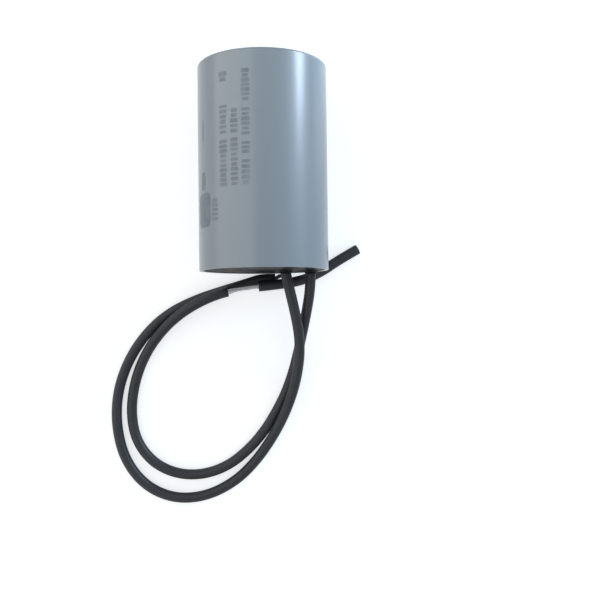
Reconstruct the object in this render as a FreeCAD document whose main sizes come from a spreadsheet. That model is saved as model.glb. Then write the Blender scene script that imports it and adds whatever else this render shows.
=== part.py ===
import FreeCAD, Part
import math
import os
import Sketcher
from FreeCAD import Vector

# Motor-run film capacitor: a moulded cup potted with resin, and two insulated leads.
# It lies on its side. The cup's axis runs along Y with the potted mouth at -Y, the
# floor is z = 0, and the origin is on the floor under the middle of the cup.

DRIVING_SIZES = [
    # The moulded cup
    ("can_diameter", 36.0),
    ("can_length", 57.0),
    ("can_wall", 1.2),
    ("can_end_thickness", 1.5),
    ("can_edge_radius", 0.8),
    ("can_inner_radius", 1.0),
    ("lip_chamfer", 0.25),
    ("gate_diameter", 4.0),
    ("gate_depth", 0.3),
    # The resin in its mouth
    ("resin_recess", 0.3),
    ("meniscus_width", 0.9),
    ("meniscus_rise", 0.2),
    # The wound film and what is on it
    ("core_diameter", 8.0),
    ("core_wall", 1.0),
    ("wrap_thickness", 0.3),
    ("spray_thickness", 0.6),
    ("wrap_wall_gap", 0.4),
    ("winding_standoff", 3.0),
    ("potting_depth", 8.0),
    # The leads and their joints
    ("lead_diameter", 3.0),
    ("conductor_diameter", 1.2),
    ("channel_clearance", 2.2),
    ("lead_a_angle", -21.0),
    ("lead_b_angle", -19.8),
    ("lead_b_wall_gap", 1.15),
    ("solder_radius", 2.0),
    ("solder_height", 1.5),
    ("solder_margin", 0.25),
    ("solder_under_wire", 0.2),
    ("strip_a", 2.6),
    ("strip_b", 8.0),
    ("bare_tip_a", 3.3),
    ("bare_gap_b", 9.2),
    ("slug_length", 32.7),
]

# Routes of the two leads, from the mouth outwards, chosen by eye. Each point gives how
# far it is across the cup's axis, how far in front of the cup's lip, and its height.
# Each lead droops to the floor, makes one open loop and comes back in front of the
# mouth. Lead A stays on the floor, and lead B climbs over it before both pass under
# the roots, where the end of lead B runs on beside the cup.
ROUTE_A = [
    (7.2, 5.5, 14.5),
    (8.6, 11.5, 13.2),
    (9.8, 17.5, 11.3),
    (10.1, 23.5, 9.1),
    (9.4, 29.7, 7.1),
    (7.8, 36.1, 5.5),
    (5.3, 42.5, 4.1),
    (1.8, 49.1, 2.7),
    (-3.0, 55.9, 1.7),
    (-9.3, 62.0, 1.55),
    (-18.0, 66.2, 1.55),
    (-27.4, 66.7, 1.55),
    (-35.9, 62.8, 1.55),
    (-41.8, 55.2, 1.55),
    (-44.3, 45.5, 1.55),
    (-44.1, 35.7, 1.55),
    (-41.3, 26.7, 1.55),
    (-36.4, 18.7, 1.55),
    (-29.6, 12.1, 1.55),
    (-21.2, 7.8, 1.55),
    (-12.1, 4.9, 1.55),
    (-4.2, 2.6, 1.55),
    (1.8, 1.7, 1.55),
    (5.6, 0.75, 1.55),
]
ROUTE_B = [
    (13.1, 5.5, 12.5),
    (12.1, 11.8, 10.3),
    (10.9, 18.0, 7.4),
    (9.7, 23.7, 5.0),
    (8.2, 29.7, 3.4),
    (6.0, 35.8, 2.3),
    (3.1, 41.5, 1.7),
    (-0.5, 47.2, 1.55),
    (-5.1, 52.4, 1.55),
    (-11.2, 57.2, 1.55),
    (-18.8, 59.8, 1.55),
    (-26.7, 59.4, 1.55),
    (-33.8, 55.8, 1.55),
    (-38.6, 49.2, 1.55),
    (-40.0, 41.3, 1.55),
    (-39.2, 33.5, 1.55),
    (-36.8, 26.0, 1.55),
    (-32.8, 19.3, 2.3),
    (-27.2, 13.4, 3.8),
    (-20.5, 8.9, 4.5),
    (-12.9, 5.7, 4.65),
    (-5.0, 4.3, 4.5),
    (3.0, 3.55, 4.3),
    (10.6, 2.5, 3.4),
    (16.9, -0.1, 2.4),
    (22.7, -4.0, 1.75),
    (28.3, -7.1, 1.55),
]

TANGENT_SHARE = 0.45


# The document and its sheet of sizes

doc = FreeCAD.newDocument("capacitor")
sheet = doc.addObject("Spreadsheet::Sheet", "sizes")
for row, (alias, number) in enumerate(DRIVING_SIZES, start=1):
    sheet.set(f"A{row}", alias)
    sheet.set(f"B{row}", str(number))
    sheet.setAlias(f"B{row}", alias)
doc.recompute()


def size(alias):
    """The number in the sheet's cell of that name."""
    return float(sheet.get(alias))


# Formulas shared by several pieces. Heights along the cup are measured from its lip.
# The roll lies close to one side of the cavity, and lead B has a channel on the other.

CAN_RADIUS = "sizes.can_diameter / 2"
CAVITY_RADIUS = "(sizes.can_diameter / 2 - sizes.can_wall)"
CAVITY_DEPTH = "(sizes.can_length - sizes.can_end_thickness)"
CHANNEL = "(sizes.lead_diameter + sizes.channel_clearance)"
WRAP_RADIUS = f"({CAVITY_RADIUS} - (sizes.wrap_wall_gap + {CHANNEL}) / 2)"
FILM_RADIUS = f"({WRAP_RADIUS} - sizes.wrap_thickness)"
CORE_RADIUS = "sizes.core_diameter / 2"
OFF_CENTRE = f"(sizes.wrap_wall_gap - {CHANNEL}) / 2"
NEAR_FACE = "(sizes.resin_recess + sizes.potting_depth)"
NEAR_FILM = f"({NEAR_FACE} + sizes.spray_thickness)"
FAR_FACE = f"({CAVITY_DEPTH} - sizes.winding_standoff)"
FAR_FILM = f"({FAR_FACE} - sizes.spray_thickness)"


def origin_feature(body, role):
    """The plane or axis of a body's own origin that has this role."""
    for feature in body.Origin.OriginFeatures:
        if feature.Role == role:
            return feature
    raise RuntimeError(f"{body.Name} has no {role}")


def closed_outline(body, corners):
    """A sketch of straight sides. Each corner is a pair of formulas, None for zero."""
    sketch = body.newObject("Sketcher::SketchObject", body.Name + "_outline")
    sketch.AttachmentSupport = (origin_feature(body, "XY_Plane"), [""])
    sketch.MapMode = "FlatFace"
    count = len(corners)
    guesses = [Vector(10 + number, 10 + number * number, 0) for number in range(count)]
    for number in range(count):
        side = Part.LineSegment(guesses[number], guesses[(number + 1) % count])
        sketch.addGeometry(side, False)
    for number in range(count):
        after = (number + 1) % count
        sketch.addConstraint(Sketcher.Constraint("Coincident", number, 2, after, 1))
    for number, (across, along) in enumerate(corners):
        place_corner(sketch, number, "DistanceX", across, -2, guesses[number].x)
        place_corner(sketch, number, "DistanceY", along, -1, guesses[number].y)
    return sketch


def place_corner(sketch, number, direction, formula, axis, guess):
    """Bind one coordinate of a corner to a formula, or put the corner on an axis."""
    if formula is None:
        sketch.addConstraint(Sketcher.Constraint("PointOnObject", number, 1, axis))
        return
    index = sketch.addConstraint(
        Sketcher.Constraint(direction, -1, 1, number, 1, guess)
    )
    name = f"corner_{number}_{direction}"
    sketch.renameConstraint(index, name)
    sketch.setExpression("Constraints." + name, formula)


def turned_body(name, corners, sideways="0"):
    """A body revolved about the cup's axis, or about one moved sideways from it."""
    body = doc.addObject("PartDesign::Body", name)
    body.Label = name
    outline = closed_outline(body, corners)
    turn = body.newObject("PartDesign::Revolution", name + "_turn")
    turn.Profile = outline
    turn.ReferenceAxis = (outline, ["V_Axis"])
    turn.Angle = 360
    outline.Visibility = False
    body.setExpression("Placement.Base.y", "-sizes.can_length / 2")
    body.setExpression("Placement.Base.z", CAN_RADIUS)
    body.setExpression("Placement.Base.x", sideways)
    doc.recompute()
    return body


def element_ring(name, inner, outer, near, far):
    """A ring or tube about the roll's axis, between two radii and two heights."""
    corners = [(inner, near), (outer, near), (outer, far), (inner, far)]
    return turned_body(name, corners, OFF_CENTRE)


def round_edge(base, radius, along):
    """Name of the base's circular edge with this radius at this height."""
    for number, edge in enumerate(base.Shape.Edges, start=1):
        if not isinstance(edge.Curve, Part.Circle):
            continue
        same_radius = abs(edge.Curve.Radius - radius) < 1e-4
        if same_radius and abs(edge.Curve.Center.y - along) < 1e-4:
            return f"Edge{number}"
    raise RuntimeError(f"{base.Name} has no round edge {radius} at {along}")


def dress_edge(body, kind, radius, along, prop, formula):
    """Fillet or chamfer one round edge of a body's last feature."""
    base = body.Tip
    edge = round_edge(base, radius, along)
    dressed = body.newObject(kind, body.Name + "_" + prop.lower() + edge.lower())
    dressed.Base = (base, [edge])
    dressed.setExpression(prop, formula)
    doc.recompute()
    return dressed


# The cup: one thin moulded wall, closed at one end, with the gate's dimple there

can = turned_body(
    "can",
    [
        (CAVITY_RADIUS, None),
        (CAN_RADIUS, None),
        (CAN_RADIUS, "sizes.can_length"),
        ("sizes.gate_diameter / 2", "sizes.can_length"),
        ("sizes.gate_diameter / 2", "sizes.can_length - sizes.gate_depth"),
        (None, "sizes.can_length - sizes.gate_depth"),
        (None, CAVITY_DEPTH),
        (CAVITY_RADIUS, CAVITY_DEPTH),
    ],
)
can_radius = size("can_diameter") / 2
cavity_radius = can_radius - size("can_wall")
cavity_depth = size("can_length") - size("can_end_thickness")
FILLET = "PartDesign::Fillet"
CHAMFER = "PartDesign::Chamfer"
dress_edge(can, FILLET, can_radius, size("can_length"), "Radius", "sizes.can_edge_radius")
dress_edge(can, FILLET, cavity_radius, cavity_depth, "Radius", "sizes.can_inner_radius")
dress_edge(can, CHAMFER, cavity_radius, 0.0, "Size", "sizes.lip_chamfer")


# The wound element: film wound on a tube, taped, and sprayed with metal at both ends

core_tube = element_ring(
    "core_tube", CORE_RADIUS + " - sizes.core_wall", CORE_RADIUS, NEAR_FACE, FAR_FACE
)
film_winding = element_ring(
    "film_winding", CORE_RADIUS, FILM_RADIUS, NEAR_FILM, FAR_FILM
)
outer_wrap = element_ring("outer_wrap", FILM_RADIUS, WRAP_RADIUS, NEAR_FACE, FAR_FACE)
end_spray_lead_side = element_ring(
    "end_spray_lead_side", CORE_RADIUS, FILM_RADIUS, NEAR_FACE, NEAR_FILM
)
end_spray_closed_side = element_ring(
    "end_spray_closed_side", CORE_RADIUS, FILM_RADIUS, FAR_FILM, FAR_FACE
)


# The leads: straight runs joined by tangent arcs, each arc as large as its runs allow


def route_edges(name, points):
    """The edges of a lead's centre line. Prints its arcs' radii and its length."""
    edges = []
    radii = []
    last = points[0]
    for before, corner, after in zip(points, points[1:], points[2:]):
        back = (before - corner).normalize()
        ahead = (after - corner).normalize()
        turn = math.pi - back.getAngle(ahead)
        shorter = min(before.distanceToPoint(corner), after.distanceToPoint(corner))
        reach = TANGENT_SHARE * shorter
        radius = reach / math.tan(turn / 2)
        inward = (back + ahead).normalize()
        to_centre = math.hypot(reach, radius)
        start = corner + back * reach
        middle = corner + inward * (to_centre - radius)
        end = corner + ahead * reach
        edges.append(Part.LineSegment(last, start).toShape())
        edges.append(Part.Arc(start, middle, end).toShape())
        radii.append(radius)
        last = end
    edges.append(Part.LineSegment(last, points[-1]).toShape())
    length = sum(edge.Length for edge in edges)
    print(name, "length", round(length, 2), "radii", [round(r, 1) for r in radii])
    return edges


def stretch(edges, start, end):
    """The part of a route between two lengths measured along it."""
    kept = []
    done = 0.0
    for edge in edges:
        low = max(start - done, 0.0)
        high = min(end - done, edge.Length)
        if high - low > 1e-6:
            first = edge.getParameterByLength(low)
            last = edge.getParameterByLength(high)
            kept.append(edge.Curve.toShape(first, last))
        done += edge.Length
    return kept


def tube(name, edges, outer, inner=None):
    """A round bar, or a tube with a bore, along a stretch of a route."""
    path = Part.Wire(edges)
    start = edges[0].valueAt(edges[0].FirstParameter)
    along = edges[0].tangentAt(edges[0].FirstParameter)
    rings = [Part.Wire(Part.makeCircle(outer / 2, start, along))]
    area = math.pi * outer**2 / 4
    if inner is not None:
        rings.append(Part.Wire(Part.makeCircle(inner / 2, start, along)))
        area -= math.pi * inner**2 / 4
    section = Part.makeFace(rings, "Part::FaceMakerBullseye")
    solid = path.makePipe(section)
    piece = doc.addObject("Part::Feature", name)
    piece.Label = name
    piece.Shape = solid
    expected = area * path.Length
    print(name, "volume", round(solid.Volume, 1), "expected", round(expected, 1))
    return piece


def on_route(across, in_front, height):
    """A point of a route, in the part's own frame."""
    return Vector(across, mouth - in_front, height)


mouth = -size("can_length") / 2
resin_face = mouth + size("resin_recess")
near_face = resin_face + size("potting_depth")
far_face = mouth + cavity_depth - size("winding_standoff")
conductor = size("conductor_diameter")
insulation = size("lead_diameter")
channel = insulation + size("channel_clearance")
film_radius = (
    cavity_radius
    - (size("wrap_wall_gap") + channel) / 2
    - size("wrap_thickness")
)
roll_across = film_winding.Placement.Base.x

# Lead A leaves from the middle of the near sprayed face. Lead B lies in its channel,
# and beyond the roll it turns across the far sprayed face to its joint.
turn_a = math.radians(size("lead_a_angle"))
turn_b = math.radians(size("lead_b_angle"))
out_a = (size("core_diameter") / 2 + film_radius) / 2
out_b = cavity_radius - size("lead_b_wall_gap") - insulation / 2
across_a = roll_across + out_a * math.cos(turn_a)
height_a = can_radius + out_a * math.sin(turn_a)
across_b = out_b * math.cos(turn_b)
height_b = can_radius + out_b * math.sin(turn_b)
joint_b_out = film_radius - size("solder_radius") - size("solder_margin")
joint_b_across = roll_across + math.sqrt(joint_b_out**2 - (height_b - can_radius) ** 2)
wire_b_along = far_face + size("solder_under_wire") + conductor / 2

joint_a = Vector(across_a, near_face, height_a)
exit_a = Vector(across_a, resin_face, height_a)
joint_b = Vector(joint_b_across, wire_b_along, height_b)
corner_b = Vector(across_b, wire_b_along, height_b)
exit_b = Vector(across_b, resin_face, height_b)
print("exits", exit_a, exit_b)

edges_a = route_edges("lead_a", [joint_a, exit_a] + [on_route(*p) for p in ROUTE_A])
edges_b = route_edges(
    "lead_b", [joint_b, corner_b, exit_b] + [on_route(*p) for p in ROUTE_B]
)
total_a = sum(edge.Length for edge in edges_a)
total_b = sum(edge.Length for edge in edges_b)

# Lead A ends in a short bare tip. Near the end of lead B a slug of the insulation was
# cut round and pulled outwards, so the strands show in a gap and end inside the slug.
slug_start = total_b - size("slug_length")
gap_start = slug_start - size("bare_gap_b")
end_a = total_a - size("bare_tip_a")
end_b = total_b - size("bare_gap_b")

lead_a_conductor = tube("lead_a_conductor", edges_a, conductor)
lead_a_insulation = tube(
    "lead_a_insulation", stretch(edges_a, size("strip_a"), end_a), insulation, conductor
)
lead_b_conductor = tube("lead_b_conductor", stretch(edges_b, 0, end_b), conductor)
lead_b_insulation = tube(
    "lead_b_insulation",
    stretch(edges_b, size("strip_b"), gap_start),
    insulation,
    conductor,
)
lead_b_end_slug = tube(
    "lead_b_end_slug", stretch(edges_b, slug_start, total_b), insulation, conductor
)


# The solder joints: a mound on each metal-sprayed face, wetted round the bare strands


def solder_joint(name, foot, outward, wire):
    """A half-round mound with its flat foot on a sprayed face, less the wire in it."""
    mound = doc.addObject("Part::Ellipsoid", name + "_mound")
    mound.setExpression("Radius1", "sizes.solder_height")
    mound.setExpression("Radius2", "sizes.solder_radius")
    mound.setExpression("Radius3", "sizes.solder_radius")
    mound.Angle1 = 0
    mound.Placement = FreeCAD.Placement(
        foot, FreeCAD.Rotation(Vector(0, 0, 1), outward)
    )
    joint = doc.addObject("Part::Cut", name)
    joint.Label = name
    joint.Base = mound
    joint.Tool = wire
    doc.recompute()
    return joint


solder_joint_a = solder_joint(
    "solder_joint_a", joint_a, Vector(0, -1, 0), lead_a_conductor
)
foot_b = Vector(joint_b.x, far_face, joint_b.z)
solder_joint_b = solder_joint(
    "solder_joint_b", foot_b, Vector(0, 1, 0), lead_b_conductor
)


# The resin: it fills the cup round all of that, and creeps up the wall at the mouth

resin_fill = turned_body(
    "resin_fill",
    [
        (None, "sizes.resin_recess"),
        (CAVITY_RADIUS + " - sizes.meniscus_width", "sizes.resin_recess"),
        (CAVITY_RADIUS, "sizes.resin_recess - sizes.meniscus_rise"),
        (CAVITY_RADIUS, CAVITY_DEPTH),
        (None, CAVITY_DEPTH),
    ],
)
dress_edge(
    resin_fill, FILLET, cavity_radius, cavity_depth, "Radius", "sizes.can_inner_radius"
)
BURIED = [
    core_tube,
    film_winding,
    outer_wrap,
    end_spray_lead_side,
    end_spray_closed_side,
    solder_joint_a,
    solder_joint_b,
    lead_a_conductor,
    lead_a_insulation,
    lead_b_conductor,
    lead_b_insulation,
]
potting_resin = resin_fill
for piece in BURIED:
    hollowed = doc.addObject("Part::Cut", "resin_round_" + piece.Name)
    hollowed.Base = potting_resin
    hollowed.Tool = piece
    potting_resin = hollowed
potting_resin.Label = "potting_resin"
doc.recompute()


# Check every object, then write each sub-part

SUB_PARTS = [
    can,
    potting_resin,
    core_tube,
    film_winding,
    outer_wrap,
    end_spray_lead_side,
    end_spray_closed_side,
    solder_joint_a,
    solder_joint_b,
    lead_a_conductor,
    lead_a_insulation,
    lead_b_conductor,
    lead_b_insulation,
    lead_b_end_slug,
]

for item in doc.Objects:
    if "Invalid" in item.State or "Error" in item.State:
        raise RuntimeError(f"{item.Name} did not rebuild: {item.State}")
os.makedirs("parts", exist_ok=True)
for piece in SUB_PARTS:
    shape = piece.Shape
    if shape.isNull() or not shape.isValid():
        raise RuntimeError(f"{piece.Label} has no valid shape")
    shape.exportStep(f"parts/{piece.Label}.step")
    print(piece.Label, "solids", len(shape.Solids), "volume", round(shape.Volume, 2))
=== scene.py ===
"""The looks of a motor-run film capacitor that lies on its side, with two wire leads.

Lengths are metres in the part's own frame: the cup's axis runs along Y at the height of
its radius, its potted mouth is at -Y, and the floor is z = 0.
"""

import math
import random

import bmesh
import bpy
import numpy as np
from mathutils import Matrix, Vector


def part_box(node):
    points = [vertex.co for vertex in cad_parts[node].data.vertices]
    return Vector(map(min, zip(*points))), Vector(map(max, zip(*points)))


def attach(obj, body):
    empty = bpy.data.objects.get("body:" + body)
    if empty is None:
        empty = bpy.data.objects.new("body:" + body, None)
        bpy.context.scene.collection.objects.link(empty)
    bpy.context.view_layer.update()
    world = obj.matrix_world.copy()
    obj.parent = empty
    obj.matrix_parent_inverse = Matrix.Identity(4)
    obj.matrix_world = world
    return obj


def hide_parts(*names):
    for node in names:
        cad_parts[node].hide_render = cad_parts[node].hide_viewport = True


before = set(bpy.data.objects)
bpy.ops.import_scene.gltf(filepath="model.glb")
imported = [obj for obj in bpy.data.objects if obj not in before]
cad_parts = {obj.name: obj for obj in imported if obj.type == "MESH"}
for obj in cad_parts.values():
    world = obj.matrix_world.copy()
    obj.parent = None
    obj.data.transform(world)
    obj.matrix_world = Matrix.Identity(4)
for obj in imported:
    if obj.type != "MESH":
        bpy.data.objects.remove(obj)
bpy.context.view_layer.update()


# The camera. It hangs a little in front of the part and looks almost straight down, so
# the cup's closed end is a wide arc and its mouth a thin dark line.

CAMERA_PLACE = (0.0, -0.040687, 0.237498)
CAMERA_TURN = (0.018053, -0.044915, -0.012478)
LENS_MM = 47.11
SENSOR_MM = 36.0


def in_scene(name, data):
    """A new object that has this data and is part of the scene."""
    made = bpy.data.objects.new(name, data)
    bpy.context.scene.collection.objects.link(made)
    return made


camera_data = bpy.data.cameras.new("camera")
camera_data.lens = LENS_MM
camera_data.sensor_width = SENSOR_MM
camera_data.clip_start = 0.01
camera_data.clip_end = 20.0
camera = in_scene("camera", camera_data)
camera.location = CAMERA_PLACE
camera.rotation_euler = CAMERA_TURN
bpy.context.scene.camera = camera
bpy.context.scene.view_settings.view_transform = "Standard"


# The two leads. Each is a bundle of nineteen tinned copper strands in extruded black
# vinyl, soldered inside and led out through the resin. They were cut by hand: lead A
# shows a short bare tip, and on lead B a slug of vinyl was pulled out along the strands.

MM = 0.001
LEAD_RADIUS = 0.0015
BORE_RADIUS = 0.0006
CUT_ROUNDING = 0.0001
LEAD_SIDES = 32
RING_SPACING = 0.0008
LINE_STEPS = 16

STRAND_RADIUS = 0.00012
STRAND_SIDES = 8
# Each layer of the bundle: how far out it lies, and how many strands it has.
STRAND_LAYERS = [(0.0, 1), (0.00024, 6), (0.00048, 12)]
LAY_LENGTH = 0.016
UNEVEN_CUT = 0.00035
CUT_SEED = 19
STRAND_OVERLAP = 0.002  # how far bare strands go on inside the insulation
TIP_LEAN = -0.00076  # lead A's bare strands are pressed aside, towards the cup's lip
LEAN_LENGTH = 0.0013

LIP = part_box("can")[0].y
RESIN_RECESS = 0.0003
RESIN_FACE = LIP + RESIN_RECESS
JOINT_A = (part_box("solder_joint_a")[0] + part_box("solder_joint_a")[1]) / 2
JOINT_B = (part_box("solder_joint_b")[0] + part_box("solder_joint_b")[1]) / 2
EXIT_A = (JOINT_A.x, RESIN_FACE, JOINT_A.z)
EXIT_B = (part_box("lead_b_insulation")[1].x - LEAD_RADIUS, RESIN_FACE, JOINT_B.z)
IN_THE_RESIN = 0.003
BARE_TIP_A = 0.0033
BARE_GAP_B = 0.0092
SLUG_LENGTH = 0.0327

# Each point of a route is how far it lies across the cup's axis, how far in front of
# the lip, and how high.
ROUTE_A = [
    (0.0072, 0.0055, 0.0145),
    (0.0086, 0.0115, 0.0132),
    (0.0098, 0.0175, 0.0113),
    (0.0101, 0.0235, 0.0091),
    (0.0094, 0.0297, 0.0071),
    (0.0078, 0.0361, 0.0055),
    (0.0053, 0.0425, 0.0041),
    (0.0018, 0.0491, 0.0027),
    (-0.003, 0.0559, 0.0017),
    (-0.0093, 0.062, 0.00155),
    (-0.018, 0.0662, 0.00155),
    (-0.0274, 0.0667, 0.00155),
    (-0.0359, 0.0628, 0.00155),
    (-0.0418, 0.0552, 0.00155),
    (-0.0443, 0.0455, 0.00155),
    (-0.0441, 0.0357, 0.00155),
    (-0.0413, 0.0267, 0.00155),
    (-0.0364, 0.0187, 0.00155),
    (-0.0296, 0.0121, 0.00155),
    (-0.0212, 0.0078, 0.00155),
    (-0.0121, 0.0049, 0.00155),
    (-0.0042, 0.0026, 0.00155),
    (-0.0012, 0.0016, 0.00155),
    (0.0036, 0.0016, 0.00155),
    (0.0066, 0.0014, 0.00155),
]
ROUTE_B = [
    (0.0131, 0.0055, 0.0125),
    (0.0121, 0.0118, 0.0103),
    (0.0109, 0.018, 0.0074),
    (0.0097, 0.0237, 0.005),
    (0.0082, 0.0297, 0.0034),
    (0.006, 0.0358, 0.0023),
    (0.0031, 0.0415, 0.0017),
    (-0.0005, 0.0472, 0.00155),
    (-0.0051, 0.0524, 0.00155),
    (-0.0112, 0.0572, 0.00155),
    (-0.0188, 0.0598, 0.00155),
    (-0.0267, 0.0594, 0.00155),
    (-0.0338, 0.0558, 0.00155),
    (-0.0386, 0.0492, 0.00155),
    (-0.04, 0.0413, 0.00155),
    (-0.0392, 0.0335, 0.00155),
    (-0.0368, 0.026, 0.00155),
    (-0.0328, 0.0193, 0.0023),
    (-0.0272, 0.0134, 0.0038),
    (-0.0205, 0.0089, 0.0045),
    (-0.0129, 0.0057, 0.00465),
    (-0.005, 0.0043, 0.0045),
    (0.003, 0.00355, 0.0043),
    (0.0106, 0.0025, 0.0034),
    (0.0169, -0.0001, 0.0024),
    (0.0227, -0.004, 0.00175),
    (0.0283, -0.0071, 0.00155),
]


class Signal:
    """A socket in a node tree: operators add Math nodes, and node() adds any other."""

    def __init__(self, tree, socket=None):
        self.tree = tree
        self.socket = socket

    def node(self, kind, settings, inputs):
        """Adds a node: its settings come first, then its sockets' values or links."""
        made = self.tree.nodes.new(kind)
        for name, value in settings.items():
            setattr(made, name, value)
        for key, value in inputs.items():
            socket = made.inputs[key] if isinstance(key, int) else None
            for found in made.inputs:
                if found.name == key and found.enabled:
                    socket = found
            if isinstance(value, Signal):
                self.tree.links.new(value.socket, socket)
            else:
                socket.default_value = value
        enabled = [output for output in made.outputs if output.enabled]
        return Signal(self.tree, enabled[0] if enabled else None)

    def beside(self, name):
        """Another output of the node that this signal comes from."""
        return Signal(self.tree, self.socket.node.outputs[name])

    def maths(self, operation, first, second):
        return self.node("ShaderNodeMath", {"operation": operation}, {0: first, 1: second})

    def __add__(self, other):
        return self.maths("ADD", self, other)

    def __sub__(self, other):
        return self.maths("SUBTRACT", self, other)

    def __rsub__(self, other):
        return self.maths("SUBTRACT", other, self)

    def __mul__(self, other):
        return self.maths("MULTIPLY", self, other)

    def __truediv__(self, other):
        return self.maths("DIVIDE", self, other)

    def __pow__(self, other):
        return self.maths("POWER", self, other)

    __radd__ = __add__
    __rmul__ = __mul__

    def stretched(self, *amounts):
        """This vector with its three parts multiplied."""
        values = {0: self, 1: amounts}
        return self.node("ShaderNodeVectorMath", {"operation": "MULTIPLY"}, values)

    def distance(self, point):
        """How far this place is from a point."""
        values = {0: self, 1: point}
        return self.node("ShaderNodeVectorMath", {"operation": "DISTANCE"}, values)

    def noise(self, scale, detail=2.0, roughness=0.5):
        """Noise from 0 to 1 read at this place, with features 1 / scale wide."""
        values = {"Vector": self, "Scale": scale, "Detail": detail, "Roughness": roughness}
        return self.node("ShaderNodeTexNoise", {"normalize": True}, values)

    def ramp(self, low, high):
        """0 where this is under low, 1 where it is over high, and smooth between."""
        settings = {"interpolation_type": "SMOOTHSTEP"}
        values = {"Value": self, "From Min": low, "From Max": high}
        return self.node("ShaderNodeMapRange", settings, values)

    def tint(self, colour, other):
        """A colour that goes from the first to the other as this goes from 0 to 1."""
        values = {"Factor": self, "A": (*colour, 1.0), "B": (*other, 1.0)}
        return self.node("ShaderNodeMix", {"data_type": "RGBA"}, values)

    def over(self, below, colour):
        """The colour laid over a coloured signal where this is 1."""
        values = {"Factor": self, "A": below, "B": (*colour, 1.0)}
        return self.node("ShaderNodeMix", {"data_type": "RGBA"}, values)

    def relief(self, height, strength=1.0):
        """A normal from this signal taken as a height in metres."""
        values = {"Strength": strength, "Distance": height, "Height": self}
        return self.node("ShaderNodeBump", {}, values)


def new_finish(name, roughness, metallic=0.0, **constants):
    """A material, its shader, and the place on the piece in millimetres."""
    material = bpy.data.materials.new(name)
    material.use_nodes = True
    tree = material.node_tree
    shader = tree.nodes["Principled BSDF"]
    shader.inputs["Roughness"].default_value = roughness
    shader.inputs["Metallic"].default_value = metallic
    for socket, value in constants.items():
        shader.inputs[socket.replace("_", " ")].default_value = value
    place = Signal(tree).node("ShaderNodeTexCoord", {}, {}).beside("Object")
    return material, shader, place.stretched(1 / MM, 1 / MM, 1 / MM)


def feed(shader, **signals):
    """Links signals to a shader's sockets. An underscore stands for a space."""
    for name, signal in signals.items():
        signal.tree.links.new(signal.socket, shader.inputs[name.replace("_", " ")])


def straightened(place):
    """The place on a lead as if it lay straight: x and y across it, z along it."""
    stored = place.node("ShaderNodeAttribute", {"attribute_name": "straightened"}, {})
    return stored.beside("Vector").stretched(1 / MM, 1 / MM, 1 / MM)


def black_vinyl():
    """Extruded vinyl: drawn lines along it, dull rubbed patches and a little dust."""
    material, shader, place = new_finish("black_vinyl", 0.5, Specular_IOR_Level=0.2)
    drawn = straightened(place)
    lines = drawn.stretched(1.0, 1.0, 0.05).noise(3.2, 3.0)
    cloud = drawn.stretched(1.0, 1.0, 0.3).noise(0.55, 3.0)
    dust = place.noise(4.0, 2.0).ramp(0.66, 0.78)
    rubbed = cloud.ramp(0.5, 0.75)
    black = rubbed.tint((0.039, 0.039, 0.043), (0.049, 0.049, 0.054))
    feed(
        shader,
        Base_Color=(dust * 0.35).over(black, (0.065, 0.066, 0.068)),
        Roughness=0.44 + rubbed * 0.16 + dust * 0.1,
        Normal=(lines + place.noise(1.6, 3.0) * 0.8).relief(0.000025),
    )
    return material


def cut_vinyl():
    """The same vinyl where it was cut: dull, greyer, and torn by the blade."""
    material, shader, place = new_finish("cut_vinyl", 0.75)
    torn = place.noise(5.0, 4.0, 0.6)
    feed(
        shader,
        Base_Color=torn.tint((0.014, 0.014, 0.015), (0.034, 0.034, 0.035)),
        Normal=torn.relief(0.00006),
    )
    return material


def tinned_copper():
    """Tinned strands: grey, half bright, with a little oxide between bright spots."""
    material, shader, place = new_finish("tinned_copper", 0.38, metallic=1.0)
    drawn = straightened(place).stretched(1.0, 1.0, 0.2).noise(6.0, 3.0)
    oxide = place.noise(2.2, 3.0).ramp(0.45, 0.7)
    feed(
        shader,
        Base_Color=oxide.tint((0.60, 0.59, 0.58), (0.36, 0.355, 0.355)),
        Roughness=0.3 + oxide * 0.25,
        Normal=drawn.relief(0.000008),
    )
    return material


def shade_painted_copper():
    """Lead A's bare strands, painted dark, dull and pinkish: a painted shade for the cup's
    shadow that falls on them.
    """
    material, shader, place = new_finish("shade_painted_copper", 0.5, metallic=0.8)
    shade_mottle = place.noise(3.0, 3.0).ramp(0.35, 0.65)
    feed(
        shader,
        Base_Color=shade_mottle.tint((0.19, 0.155, 0.165), (0.10, 0.085, 0.09)),
        Roughness=0.44 + shade_mottle * 0.2,
        Normal=shade_mottle.relief(0.00001),
    )
    return material


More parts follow.
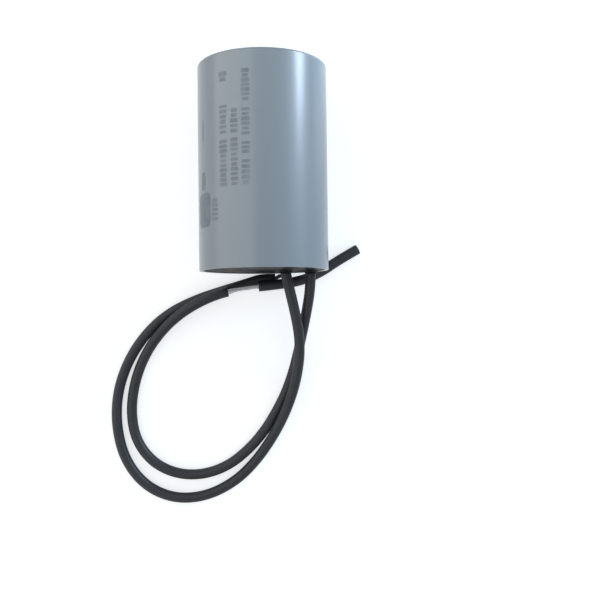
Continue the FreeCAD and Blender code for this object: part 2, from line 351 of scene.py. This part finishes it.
class Line:
    """A smooth NURBS line along a route, with axes across it that don't twist."""

    def __init__(self, name, points):
        curve = bpy.data.curves.new(name, "CURVE")
        curve.dimensions = "3D"
        curve.resolution_u = LINE_STEPS
        spline = curve.splines.new("NURBS")
        spline.points.add(len(points) - 1)
        for control, place in zip(spline.points, points):
            control.co = (*place, 1.0)
        spline.order_u = 3
        spline.use_endpoint_u = True
        holder = bpy.data.objects.new(name, curve)
        mesh = bpy.data.meshes.new_from_object(holder)
        self.points = np.array([vertex.co for vertex in mesh.vertices])
        bpy.data.meshes.remove(mesh)
        bpy.data.curves.remove(curve)
        steps = np.diff(self.points, axis=0)
        lengths = np.linalg.norm(steps, axis=1)
        self.along = np.concatenate([[0.0], np.cumsum(lengths)])
        self.length = self.along[-1]
        tangents = np.gradient(self.points, self.along, axis=0)
        side = np.array([0.0, 0.0, 1.0])
        self.sides = []
        self.rises = []
        for tangent in tangents:
            tangent = tangent / np.linalg.norm(tangent)
            side = side - tangent * side.dot(tangent)
            side = side / np.linalg.norm(side)
            self.sides.append(side)
            self.rises.append(np.cross(tangent, side))
        self.sides = np.array(self.sides)
        self.rises = np.array(self.rises)

    def at(self, distance, across, up):
        """The point this far along, moved across and up from the line."""
        parts = []
        for values in (self.points, self.sides, self.rises):
            columns = [np.interp(distance, self.along, column) for column in values.T]
            parts.append(np.array(columns))
        return parts[0] + across * parts[1] + up * parts[2]


# A lead's finishes, by their place in its list of materials.
# The fourth finish is bare copper painted dark, a painted shade.
VINYL, CUT_FACE, TINNED, SHADE_PAINTED = range(4)
LEAD_FINISHES = [black_vinyl(), cut_vinyl(), tinned_copper(), shade_painted_copper()]


class Skin:
    """Gathers rings round a line into one mesh, with each point's straightened place."""

    def __init__(self, line):
        self.line = line
        self.mesh = bmesh.new()
        self.straight = self.mesh.verts.layers.float_vector.new("straightened")

    def ring(self, distance, radius, sides, centre=(0.0, 0.0)):
        """One ring of points across the line."""
        ring = []
        for number in range(sides):
            angle = 2 * math.pi * number / sides
            across = centre[0] + radius * math.cos(angle)
            up = centre[1] + radius * math.sin(angle)
            point = self.mesh.verts.new(self.line.at(distance, across, up))
            point[self.straight] = (across, up, distance)
            ring.append(point)
        return ring

    def band(self, ring, after, finish=0):
        """The faces between two rings."""
        for number in range(len(ring)):
            beside = (number + 1) % len(ring)
            corners = (ring[number], ring[beside], after[beside], after[number])
            face = self.mesh.faces.new(corners)
            face.material_index = finish
            face.smooth = True

    def sleeve(self, start, end):
        """A tube of insulation with its bore, and cut faces with slightly eased edges."""
        count = max(2, round((end - start) / RING_SPACING))
        middle = np.linspace(start + CUT_ROUNDING, end - CUT_ROUNDING, count)
        eased = LEAD_RADIUS - CUT_ROUNDING
        outside = [(start, eased)]
        outside += [(distance, LEAD_RADIUS) for distance in middle]
        outside += [(end, eased)]
        inside = [(distance, BORE_RADIUS) for distance in (end, *middle[::-1], start)]
        rings = [self.ring(*station, LEAD_SIDES) for station in outside + inside]
        cut_bands = (len(outside) - 1, len(rings) - 1)
        for number, ring in enumerate(rings):
            finish = CUT_FACE if number in cut_bands else VINYL
            self.band(ring, rings[(number + 1) % len(rings)], finish)

    def strands(self, start, end, cuts, finish=TINNED, lean=0.0, lean_from=0.0):
        """The twisted bundle, cut unevenly. It leans aside where it is past lean_from."""
        for out, amount in STRAND_LAYERS:
            for number in range(amount):
                last = end - cuts.uniform(0.0, UNEVEN_CUT)
                count = max(2, round((last - start) / RING_SPACING))
                rings = []
                for distance in np.linspace(start, last, count):
                    turn = 2 * math.pi * (number / amount + distance / LAY_LENGTH)
                    leaned = min(1.0, max(0.0, (distance - lean_from) / LEAN_LENGTH))
                    aside = lean * leaned * leaned * (3 - 2 * leaned)
                    centre = (out * math.cos(turn), out * math.sin(turn) + aside)
                    rings.append(self.ring(distance, STRAND_RADIUS, STRAND_SIDES, centre))
                for ring, after in zip(rings, rings[1:]):
                    self.band(ring, after, finish)
                for cap in (rings[0], rings[-1]):
                    face = self.mesh.faces.new(cap)
                    face.material_index = finish

    def piece(self, name, slot, finishes):
        """The finished object, with its finishes and its body. The slot is not used."""
        bmesh.ops.recalc_face_normals(self.mesh, faces=self.mesh.faces)
        data = bpy.data.meshes.new(name)
        self.mesh.to_mesh(data)
        self.mesh.free()
        for finish in finishes:
            data.materials.append(finish)
        made = in_scene(name, data)
        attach(made, "root")
        return made


def lead_line(name, exit_point, route):
    """The lead's line, from a little inside the resin to its cut end."""
    inside = (exit_point[0], exit_point[1] + IN_THE_RESIN, exit_point[2])
    outside = [(across, LIP - in_front, height) for across, in_front, height in route]
    return Line(name, [inside, exit_point, *outside])


cuts = random.Random(CUT_SEED)

line_a = lead_line("line_a", EXIT_A, ROUTE_A)
bare_from = line_a.length - BARE_TIP_A
skin_a = Skin(line_a)
skin_a.sleeve(0.0, bare_from)
# Lead A's bare tip takes the copper painted dark: painted shade for the cup's shadow on
# it.
skin_a.strands(
    bare_from - STRAND_OVERLAP,
    line_a.length,
    cuts,
    finish=SHADE_PAINTED,
    lean=TIP_LEAN,
    lean_from=bare_from,
)
lead_a = skin_a.piece("lead_a", "lead_insulation", LEAD_FINISHES)
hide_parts("lead_a_insulation", "lead_a_conductor")

line_b = lead_line("line_b", EXIT_B, ROUTE_B)
slug_start = line_b.length - SLUG_LENGTH
gap_start = slug_start - BARE_GAP_B
skin_b = Skin(line_b)
skin_b.sleeve(0.0, gap_start)
skin_b.strands(gap_start - STRAND_OVERLAP, line_b.length - BARE_GAP_B, cuts)
skin_b.sleeve(slug_start, line_b.length)
lead_b = skin_b.piece("lead_b", "lead_insulation", LEAD_FINISHES)
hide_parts("lead_b_insulation", "lead_b_conductor", "lead_b_end_slug")


# The leads' buried ends, which the resin hides. They were stripped and soldered to the
# roll's sprayed faces: lead A to the near one, and lead B past the roll to the far one.

STRIP_A = 0.0026
STRIP_B = 0.008
BEND_EASING = 0.0025

near_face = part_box("end_spray_lead_side")[0].y
far_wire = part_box("lead_b_conductor")[1].y - BORE_RADIUS
roots = [
    (
        "lead_a_root",
        STRIP_A,
        [(JOINT_A.x, near_face, JOINT_A.z), line_a.points[0]],
    ),
    (
        "lead_b_root",
        STRIP_B,
        [
            (JOINT_B.x, far_wire, JOINT_B.z),
            (EXIT_B[0] - BEND_EASING, far_wire, EXIT_B[2]),
            (EXIT_B[0], far_wire, EXIT_B[2]),
            (EXIT_B[0], far_wire - BEND_EASING, EXIT_B[2]),
            line_b.points[0],
        ],
    ),
]
for name, strip, points in roots:
    middle = (np.array(points[-2]) + np.array(points[-1])) / 2
    root_line = Line(name + "_line", [*points[:-1], middle, points[-1]])
    skin = Skin(root_line)
    skin.strands(0.0, root_line.length, cuts)
    skin.sleeve(strip, root_line.length)
    skin.piece(name, "lead_insulation", LEAD_FINISHES)


# The cup. It was injection-moulded in one piece from pale grey plastic, through a gate
# in the middle of its closed end, and it is the capacitor's whole outside.

CAN_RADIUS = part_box("can")[1].x
# The gate's place, and the distances from it between which its halo fades, in millimetres.
GATE = (0.0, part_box("can")[1].y / MM, CAN_RADIUS / MM)
GATE_HALO = (2.5, 7.5)


def dress(node, finish):
    """Gives a CAD node its finish."""
    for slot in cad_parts[node].material_slots:
        slot.material = finish


def moulded_plastic():
    """Pale grey plastic: fine grain, faint flow clouds, a duller halo round the gate."""
    material, shader, place = new_finish(
        "moulded_plastic", 0.5, Specular_IOR_Level=0.4, Coat_Roughness=0.22
    )
    clouds = place.stretched(1.0, 0.45, 1.0).noise(0.09, 3.0)
    grain = place.noise(3.5, 3.0, 0.6)
    rubs = place.stretched(1.0, 0.15, 1.0).noise(1.4, 4.0, 0.6).ramp(0.56, 0.8)
    halo = 1.0 - (place.distance(GATE) + clouds * 3.0).ramp(*GATE_HALO)
    pale = clouds.tint((0.256, 0.303, 0.334), (0.283, 0.326, 0.356))
    worn = (rubs * 0.08).over(pale, (0.41, 0.43, 0.45))
    feed(
        shader,
        Base_Color=(halo * 0.25).over(worn, (0.35, 0.38, 0.41)),
        Roughness=0.4 + grain * 0.06,
        Coat_Weight=0.62 - rubs * 0.25 - halo * 0.2,
        Normal=(grain * 0.35 + place.noise(0.35, 2.0)).relief(0.00002, 0.6),
    )
    return material


dress("can", moulded_plastic())


# The print. Rows of grey ink were stamped along the cup's side, and they are faint and
# rubbed. Here they are plain small blocks in rows, with a few broad fields of ink.

INK_RISE = 0.000012
INK_THICKNESS = 0.000022
BLOCK_PITCH = 0.00126
BLOCK_FILL = (0.60, 0.90)
BLOCK_HEIGHTS = (1.0, 1.0, 0.94, 0.78)
BLOCK_GRID = (9, 7)
CORNER_POWER = 6.0
CORNER_EASING = 0.12
SHARP_ANGLE = math.radians(40)
PRINT_SEED = 7
# Each row's place round the cup in degrees from the top, its height in degrees, and
# where its groups start and end along the cup, in millimetres from the cup's middle.
PRINT_ROWS = [
    (-14.2, 7.4, [(23.0, 14.4), (13.0, 5.5), (4.2, 0.8), (-0.4, -7.3)]),
    (-24.4, 7.2, [(13.0, 6.3), (5.3, -7.4)]),
    (-35.1, 8.2, [(22.9, 20.1), (14.3, 6.3), (5.1, -7.4)]),
    (-45.1, 7.2, [(-10.0, -16.0)]),
]
# The broad fields: place and height in degrees, and start and end in millimetres.
PRINT_FIELDS = [
    (-63.0, 2.2, 11.7, 5.5),
    (-63.0, 8.0, -2.5, -7.3),
    (-62.0, 22.0, -8.1, -17.3),
]


class Pattern:
    """A Geometry Nodes tree with named inputs, which makes one plain mesh of a mesh."""

    def __init__(self, name, **kinds):
        self.tree = bpy.data.node_groups.new(name, "GeometryNodeTree")
        interface = self.tree.interface
        self.sockets = {}
        for label, kind in {"Geometry": "Geometry", "Finish": "Material", **kinds}.items():
            socket_type = "NodeSocket" + kind
            made = interface.new_socket(label, in_out="INPUT", socket_type=socket_type)
            self.sockets[label] = made.identifier
        interface.new_socket("Mesh", in_out="OUTPUT", socket_type="NodeSocketGeometry")
        entry = Signal(self.tree).node("NodeGroupInput", {}, {})
        self.values = {label: entry.beside(label) for label in self.sockets}

    def end(self, geometry):
        """Ends the tree: the geometry is realized and gets its finish."""
        plain = geometry.node("GeometryNodeRealizeInstances", {}, {0: geometry})
        values = {"Geometry": plain, "Material": self.values["Finish"]}
        dressed = plain.node("GeometryNodeSetMaterial", {}, values)
        dressed.node("NodeGroupOutput", {}, {"Mesh": dressed})

    def piece(self, name, slot, mesh, finish, thickness=0.0, **values):
        """The finished object: the tree's mesh, given a thickness where it needs one."""
        made = in_scene(name, mesh)
        grown = made.modifiers.new(name, "NODES")
        grown.node_group = self.tree
        grown[self.sockets["Finish"]] = finish
        for label, value in values.items():
            grown[self.sockets[label]] = value
        if thickness:
            wall = made.modifiers.new("wall", "SOLIDIFY")
            wall.thickness = thickness
            wall.offset = -1.0
        evaluated = made.evaluated_get(bpy.context.evaluated_depsgraph_get())
        result = bpy.data.meshes.new_from_object(evaluated)
        made.modifiers.clear()
        made.data = result
        result.set_sharp_from_angle(angle=SHARP_ANGLE)
        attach(made, "root")
        return made


def stamped_blocks():
    """Lays a small rounded block at each point, then rolls the flat layout on the cup."""
    pattern = Pattern("stamped_blocks", Radius="Float", Rise="Float")
    start = pattern.values["Geometry"]
    grid = {
        "Size X": 2.0,
        "Size Y": 2.0,
        "Vertices X": BLOCK_GRID[0],
        "Vertices Y": BLOCK_GRID[1],
    }
    block = start.node("GeometryNodeMeshGrid", {}, grid)
    place = start.node("GeometryNodeInputPosition", {}, {})
    across = place.node("ShaderNodeSeparateXYZ", {}, {0: place})
    along = across.beside("Y")
    corners = {
        "X": across * (1.0 - (along * along) ** CORNER_POWER * CORNER_EASING),
        "Y": along * (1.0 - (across * across) ** CORNER_POWER * CORNER_EASING),
    }
    eased = across.node("ShaderNodeCombineXYZ", {}, corners)
    rounded = {"Geometry": block, "Position": eased}
    block = block.node("GeometryNodeSetPosition", {}, rounded)
    vector = {"data_type": "FLOAT_VECTOR"}
    named = {"Name": "half_size"}
    half_size = start.node("GeometryNodeInputNamedAttribute", vector, named)
    instances = {"Points": start, "Instance": block, "Scale": half_size}
    laid = start.node("GeometryNodeInstanceOnPoints", {}, instances)
    flat = laid.node("GeometryNodeRealizeInstances", {}, {0: laid})
    radius = pattern.values["Radius"]
    angle = across / radius
    outside = radius + pattern.values["Rise"]
    rolled = {
        "X": outside * angle.maths("SINE", angle, 0.0),
        "Y": along,
        "Z": radius + outside * angle.maths("COSINE", angle, 0.0),
    }
    on_cup = across.node("ShaderNodeCombineXYZ", {}, rolled)
    moved = {"Geometry": flat, "Position": on_cup}
    pattern.end(flat.node("GeometryNodeSetPosition", {}, moved))
    return pattern


def print_layout(jitter):
    """The blocks' middles and half sizes, laid flat: x round the cup and y along it."""
    middles = []
    halves = []
    for degrees, height, groups in PRINT_ROWS:
        around = math.radians(degrees) * CAN_RADIUS
        half_height = math.radians(height) * CAN_RADIUS / 2
        for first, last in groups:
            count = max(1, round((first - last) * MM / BLOCK_PITCH))
            pitch = (first - last) * MM / count
            for number in range(count):
                low = jitter.choice(BLOCK_HEIGHTS)
                fill = jitter.uniform(*BLOCK_FILL)
                middles.append((around, first * MM - (number + 0.5) * pitch, 0.0))
                halves.append((half_height * low, pitch / 2 * fill, 1.0))
    for degrees, height, first, last in PRINT_FIELDS:
        around = math.radians(degrees) * CAN_RADIUS
        half_height = math.radians(height) * CAN_RADIUS / 2
        middles.append((around, (first + last) / 2 * MM, 0.0))
        halves.append((half_height, (first - last) / 2 * MM, 1.0))
    mesh = bpy.data.meshes.new("print_layout")
    mesh.from_pydata(middles, [], [])
    sizes = mesh.attributes.new("half_size", "FLOAT_VECTOR", "POINT")
    for entry, half in zip(sizes.data, halves):
        entry.vector = half
    return mesh


def rubbed_ink():
    """Thin grey ink: mottled where it took badly, and paler where it was rubbed off."""
    material, shader, place = new_finish("rubbed_ink", 0.45)
    mottle = place.noise(0.3, 2.0)
    rubbed = place.stretched(1.0, 0.4, 1.0).noise(0.16, 2.0).ramp(0.45, 0.7)
    ink = mottle.ramp(0.35, 0.65).tint((0.170, 0.198, 0.228), (0.212, 0.245, 0.280))
    feed(
        shader,
        Base_Color=(rubbed * 0.5).over(ink, (0.278, 0.326, 0.363)),
        Roughness=0.34 + place.noise(2.0, 3.0) * 0.16,
        Normal=mottle.relief(0.000004),
    )
    return material


stamped_blocks().piece(
    "printed_rows",
    "can_plastic",
    print_layout(random.Random(PRINT_SEED)),
    rubbed_ink(),
    thickness=INK_THICKNESS,
    Radius=CAN_RADIUS,
    Rise=INK_RISE,
)


# The wound element, which the resin hides: a plastic tube, some hundred turns of film,
# tape round them, zinc sprayed on both ends, and a solder mound for each lead.

ROLL_MIDDLE = (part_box("film_winding")[0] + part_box("film_winding")[1]) / 2 / MM
FILM_TURN = 0.12  # millimetres from one drawn turn to the middle of the next
FILM_STEP = 8.0


def from_roll_axis(place):
    """How far a place is from the roll's axis, in millimetres."""
    flat = place.stretched(1.0, 0.0, 1.0)
    return flat.distance((ROLL_MIDDLE.x, 0.0, ROLL_MIDDLE.z))


def drawn_tube():
    """A plain tube of natural plastic with lines from the die along it."""
    material, shader, place = new_finish("drawn_tube", 0.4)
    lines = place.stretched(1.0, 0.04, 1.0).noise(2.4, 3.0)
    feed(
        shader,
        Base_Color=lines.tint((0.50, 0.49, 0.44), (0.58, 0.57, 0.52)),
        Roughness=0.34 + lines * 0.14,
        Normal=lines.relief(0.00002),
    )
    return material


def metallised_film():
    """The roll of film: silvery, with a fine step for each turn where its end shows."""
    material, shader, place = new_finish("metallised_film", 0.25, metallic=0.8)
    from_axis = from_roll_axis(place)
    turns = from_axis.maths("PINGPONG", from_axis, FILM_TURN) * FILM_STEP
    sheen = place.stretched(1.0, 0.1, 1.0).noise(0.5, 3.0)
    feed(
        shader,
        Base_Color=sheen.tint((0.46, 0.47, 0.49), (0.60, 0.61, 0.62)),
        Roughness=0.2 + sheen * 0.15,
        Normal=(turns + sheen).relief(0.00002, 0.7),
    )
    return material


def winding_tape():
    """Clear amber tape in a few turns, with small wrinkles across it."""
    material, shader, place = new_finish("winding_tape", 0.2, Coat_Weight=0.3)
    wrinkles = place.stretched(1.0, 0.12, 1.0).noise(0.8, 4.0, 0.6)
    feed(
        shader,
        Base_Color=wrinkles.tint((0.50, 0.38, 0.17), (0.62, 0.50, 0.27)),
        Roughness=0.14 + wrinkles * 0.18,
        Normal=wrinkles.relief(0.00005),
    )
    return material


def sprayed_zinc():
    """Zinc sprayed on hot: a dull, sandy crust of small grey grains."""
    material, shader, place = new_finish("sprayed_zinc", 0.7, metallic=0.7)
    grains = place.noise(3.0, 4.0, 0.7)
    dull = place.noise(0.4, 2.0)
    feed(
        shader,
        Base_Color=grains.tint((0.24, 0.24, 0.245), (0.44, 0.44, 0.445)),
        Roughness=0.6 + dull * 0.2,
        Normal=grains.relief(0.00012),
    )
    return material


def hand_solder():
    """Solder run on by hand: half bright and wavy, with brown flux left in places."""
    material, shader, place = new_finish("hand_solder", 0.3, metallic=1.0)
    waves = place.noise(0.9, 2.0)
    flux = place.noise(1.5, 3.0).ramp(0.58, 0.7)
    bright = waves.tint((0.5, 0.5, 0.5), (0.62, 0.62, 0.61))
    feed(
        shader,
        Base_Color=(flux * 0.5).over(bright, (0.22, 0.14, 0.06)),
        Roughness=0.24 + flux * 0.3,
        Metallic=1.0 - flux * 0.4,
        Normal=waves.relief(0.0001),
    )
    return material


dress("core_tube", drawn_tube())
dress("film_winding", metallised_film())
dress("outer_wrap", winding_tape())
ZINC = sprayed_zinc()
dress("end_spray_lead_side", ZINC)
dress("end_spray_closed_side", ZINC)
SOLDER = hand_solder()
dress("solder_joint_a", SOLDER)
dress("solder_joint_b", SOLDER)


# The resin. Black resin was poured into the mouth and set there: it is half glossy and
# slightly wavy, crept up each lead in a small collar, and holds a few bubbles at its face.

# The collar's outline: how far out of the resin's face, and how far from the lead's line.
COLLAR = [
    (-0.0004, 0.0030),
    (0.00003, 0.0026),
    (0.0001, 0.00215),
    (0.0003, 0.0018),
    (0.0006, 0.0016),
    (0.0009, 0.00151),
    (0.0009, 0.0013),
]
BUBBLE_AREA_RADIUS = 0.0150
BUBBLE_AREA_SIDES = 48
BUBBLE_CLEARANCE = 0.0036
BUBBLES_PER_M2 = 60000.0
BUBBLE_SIZES = (0.00008, 0.00030)
BUBBLE_FLATNESS = 0.3
BUBBLE_SEED = 5


def cast_resin():
    """Black cast resin: half glossy with slow waves, fine dust and dull fingerprints."""
    material, shader, place = new_finish("cast_resin", 0.5, Specular_IOR_Level=0.08)
    waves = place.noise(0.22, 2.0)
    prints = place.noise(0.5, 3.0).ramp(0.5, 0.72)
    dust = place.noise(5.0, 2.0).ramp(0.68, 0.78)
    black = prints.tint((0.014, 0.014, 0.015), (0.022, 0.022, 0.0235))
    feed(
        shader,
        Base_Color=(dust * 0.4).over(black, (0.10, 0.10, 0.10)),
        Roughness=0.44 + prints * 0.16 + dust * 0.2,
        Normal=(waves + place.noise(1.6, 2.0) * 0.12).relief(0.00035, 0.5),
    )
    return material


def resin_collar(name, line, finish):
    """The ring of resin that crept up a lead: flat on the face, and round it above."""
    first_out = int(np.argmax(line.points[:, 1] < RESIN_FACE))
    at_face = line.along[first_out]
    middle = line.points[first_out]
    skin = Skin(line)
    rings = []
    for rise, radius in COLLAR:
        ring = skin.ring(at_face + rise, radius, LEAD_SIDES)
        follow = min(max(rise / COLLAR[-1][0], 0.0), 1.0)
        for number, point in enumerate(ring):
            angle = 2 * math.pi * number / LEAD_SIDES
            level = Vector((-math.sin(angle) * radius, 0.0, math.cos(angle) * radius))
            level += Vector((middle[0], RESIN_FACE - rise, middle[2]))
            point.co = level.lerp(point.co, follow)
        rings.append(ring)
    for ring, after in zip(rings, rings[1:]):
        skin.band(ring, after)
    skin.band(rings[-1], rings[0])
    skin.piece(name, "potting_resin", [finish])


def face_bubbles():
    """Scatters low domes over a disc, each of its own size, but none beside a lead."""
    pattern = Pattern(
        "face_bubbles",
        Exit_A="Vector",
        Exit_B="Vector",
        Clearance="Float",
        Density="Float",
        Smallest="Float",
        Largest="Float",
        Seed="Int",
    )
    values = pattern.values
    start = values["Geometry"]
    spread = {"Mesh": start, "Density": values["Density"], "Seed": values["Seed"]}
    points = start.node("GeometryNodeDistributePointsOnFaces", {}, spread)
    place = start.node("GeometryNodeInputPosition", {}, {})
    clear = []
    for exit_name in ("Exit_A", "Exit_B"):
        away = place.distance(values[exit_name])
        clear.append(away.maths("GREATER_THAN", away, values["Clearance"]))
    sizes = {"Min": values["Smallest"], "Max": values["Largest"], "Seed": values["Seed"]}
    size = start.node("FunctionNodeRandomValue", {"data_type": "FLOAT"}, sizes)
    dome = {"X": size, "Y": size, "Z": size * BUBBLE_FLATNESS}
    scale = size.node("ShaderNodeCombineXYZ", {}, dome)
    ball = {"Radius": 1.0, "Subdivisions": 2}
    instances = {
        "Points": points,
        "Selection": clear[0] * clear[1],
        "Instance": start.node("GeometryNodeMeshIcoSphere", {}, ball),
        "Rotation": points.beside("Rotation"),
        "Scale": scale,
    }
    domes = points.node("GeometryNodeInstanceOnPoints", {}, instances)
    plain = domes.node("GeometryNodeRealizeInstances", {}, {0: domes})
    pattern.end(plain.node("GeometryNodeSetShadeSmooth", {}, {0: plain}))
    return pattern


def disc(name, radius, sides, placed):
    """A mesh of one round face, with each of its points where placed() puts it."""
    shape = bmesh.new()
    bmesh.ops.create_circle(shape, cap_ends=True, radius=radius, segments=sides)
    for point in shape.verts:
        point.co = placed(point.co.x, point.co.y)
    mesh = bpy.data.meshes.new(name)
    shape.to_mesh(mesh)
    shape.free()
    return mesh


def on_resin_face(across, up):
    """A place on the resin's face, from its middle."""
    return (across, RESIN_FACE, CAN_RADIUS + up)


RESIN = cast_resin()
dress("potting_resin", RESIN)
resin_collar("resin_collar_a", line_a, RESIN)
resin_collar("resin_collar_b", line_b, RESIN)
face_bubbles().piece(
    "resin_bubbles",
    "potting_resin",
    disc("bubble_area", BUBBLE_AREA_RADIUS, BUBBLE_AREA_SIDES, on_resin_face),
    RESIN,
    Exit_A=EXIT_A,
    Exit_B=EXIT_B,
    Clearance=BUBBLE_CLEARANCE,
    Density=BUBBLES_PER_M2,
    Smallest=BUBBLE_SIZES[0],
    Largest=BUBBLE_SIZES[1],
    Seed=BUBBLE_SEED,
)


# The floor and the light. A white sheet keeps the part's soft shadow, the surround is
# cooler on the right and, in gloss, brighter on the left and behind, and a window low
# on the right shows mostly as shine, on the part and on the floor.

WHITE = (1.0, 1.0, 1.0)
FLOOR_RADIUS = 1.5
FLOOR_SIDES = 96
FLOOR_COLOUR = (0.86, 0.86, 0.86, 1.0)
FLOOR_LIFT = 0.60
# A sunny patch of the floor, which only gloss shows: what it adds, its middle, the
# distances from there between which it fades, and its colour.
SUNNY_FLOOR = 1.5
SUNNY_PLACE = (0.095, 0.09, 0.0)
SUNNY_EDGE = (0.05, 0.105)
SUNNY_COLOUR = (0.58, 0.78, 1.0)

# The surround's plain strength, and what gloss sees more of on the left and behind. The
# edges and the end are directions along X or Y between which that comes or goes.
SURROUND = 0.60
BRIGHT_SIDE = 1.3
BRIGHT_SIDE_EDGE = (0.24, 0.31)
BRIGHT_BACK = 1.4
BRIGHT_BACK_EDGE = (0.04, 0.36)
BRIGHT_BACK_END = (0.42, 0.66)
COOL_SIDE = (0.80, 0.91, 1.0)

LAMP_PLACE = (0.55, 0.29, 0.24)
LAMP_AIM = (0.0085, 0.018, 0.034)
LAMP_SIZE = (0.23, 0.17)
# The window's light and its extra shine: watts, colour, and whether matt surfaces get it.
LAMPS = [
    ("window", 0.95, (0.28, 0.62, 1.0), True),
    ("window_shine", 3.7, (0.76, 0.84, 1.0), False),
]


def ray_kinds(tree):
    """Signals that are 1 for rays from the camera, glossy ones, and those let through."""
    rays = Signal(tree).node("ShaderNodeLightPath", {}, {})
    kinds = ("Is Camera Ray", "Is Glossy Ray", "Is Transmission Ray")
    return [rays.beside(kind) for kind in kinds]


def white_sheet():
    """A white floor, lifted to full white where it is looked at, and sunny in gloss."""
    material = bpy.data.materials.new("white_sheet")
    material.use_nodes = True
    tree = material.node_tree
    tree.nodes.remove(tree.nodes["Principled BSDF"])
    camera_ray, glossy_ray, passing_ray = ray_kinds(tree)
    seen = camera_ray + glossy_ray + passing_ray
    matt = seen.node("ShaderNodeBsdfDiffuse", {}, {"Color": FLOOR_COLOUR})
    place = seen.node("ShaderNodeTexCoord", {}, {}).beside("Object")
    sunny = glossy_ray * (1.0 - place.distance(SUNNY_PLACE).ramp(*SUNNY_EDGE))
    amount = seen * FLOOR_LIFT + sunny * SUNNY_FLOOR
    lit = {0: sunny.tint(WHITE, SUNNY_COLOUR), "Scale": amount}
    light = seen.node("ShaderNodeVectorMath", {"operation": "SCALE"}, lit)
    glow = seen.node("ShaderNodeEmission", {}, {"Color": light, "Strength": 1.0})
    both = seen.node("ShaderNodeAddShader", {}, {0: matt, 1: glow})
    tree.links.new(both.socket, tree.nodes["Material Output"].inputs["Surface"])
    return material


def white_surround():
    """A world that is plain white to the eye, and lights the part's right side cooler."""
    world = bpy.data.worlds.new("surround")
    world.use_nodes = True
    tree = world.node_tree
    camera_ray, glossy_ray, passing_ray = ray_kinds(tree)
    seen = camera_ray + glossy_ray + passing_ray
    way = seen.node("ShaderNodeTexCoord", {}, {}).beside("Generated")
    sideways = way.node("ShaderNodeSeparateXYZ", {}, {0: way})
    left = (0.0 - sideways).ramp(*BRIGHT_SIDE_EDGE)
    back = sideways.beside("Y")
    behind = back.ramp(*BRIGHT_BACK_EDGE) * (1.0 - back.ramp(*BRIGHT_BACK_END))
    shine = left * BRIGHT_SIDE + behind * BRIGHT_BACK
    strength = SURROUND + seen * (1.0 - SURROUND) + glossy_ray * shine
    cool = sideways.ramp(-1.0, 1.0) * (1.0 - camera_ray)
    colour = cool.tint(WHITE, COOL_SIDE)
    background = tree.nodes["Background"]
    tree.links.new(colour.socket, background.inputs["Color"])
    tree.links.new(strength.socket, background.inputs["Strength"])
    return world


def on_floor(across, along):
    """A place on the floor."""
    return (across, along, 0.0)


floor_mesh = disc("floor", FLOOR_RADIUS, FLOOR_SIDES, on_floor)
floor_mesh.materials.append(white_sheet())
floor = in_scene("floor", floor_mesh)
bpy.context.scene.world = white_surround()

for name, watts, colour, lights_matt in LAMPS:
    lamp_data = bpy.data.lights.new(name, "AREA")
    lamp_data.shape = "RECTANGLE"
    lamp_data.size, lamp_data.size_y = LAMP_SIZE
    lamp_data.energy = watts
    lamp_data.color = colour
    lamp = in_scene(name, lamp_data)
    lamp.location = LAMP_PLACE
    aim = Vector(LAMP_AIM) - Vector(LAMP_PLACE)
    lamp.rotation_euler = aim.to_track_quat("-Z", "Y").to_euler()
    lamp.visible_diffuse = lights_matt
